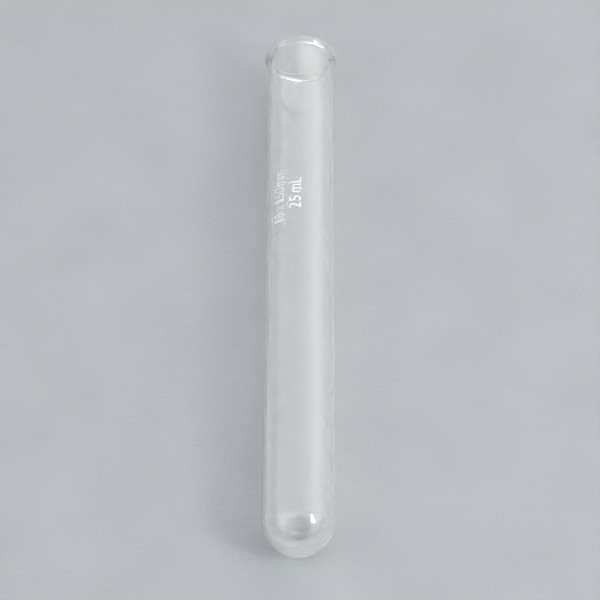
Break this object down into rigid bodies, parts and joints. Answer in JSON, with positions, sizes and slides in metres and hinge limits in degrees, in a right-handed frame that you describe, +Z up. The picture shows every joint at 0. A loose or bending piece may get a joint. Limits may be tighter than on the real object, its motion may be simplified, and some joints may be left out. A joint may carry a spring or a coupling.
{
  "type": "test tube",
  "caption": "Clear borosilicate test tube with a round bottom and a thick round fire-polished bead at its mouth, white fired size and volume print, lying on its side.",
  "frame": {"origin": "middle of the footprint of the tube as it lies on its side, on the surface it rests on", "axes": "+Y along the tube towards its mouth, +Z up; the axis rises 0.43 degrees towards the mouth because the lip is wider than the body"},
  "size_m": [0.02, 0.15, 0.0201],
  "materials": {
    "borosilicate_glass": "clear, fire-polished, faint green in the thick edges",
    "white_enamel": "fired white ceramic enamel, satin, slightly grainy"
  },
  "bodies": {
    "root": {"glass_tube": "borosilicate_glass", "size_mark_numeral_1": "white_enamel", "size_mark_numeral_8": "white_enamel", "size_mark_times": "white_enamel", "size_mark_numeral_1_second": "white_enamel", "size_mark_numeral_5": "white_enamel", "size_mark_numeral_0": "white_enamel", "size_mark_letter_m": "white_enamel", "size_mark_letter_m_second": "white_enamel", "volume_mark_numeral_2": "white_enamel", "volume_mark_numeral_5": "white_enamel", "volume_mark_letter_m": "white_enamel", "volume_mark_letter_l": "white_enamel"}
  },
  "joints": []
}
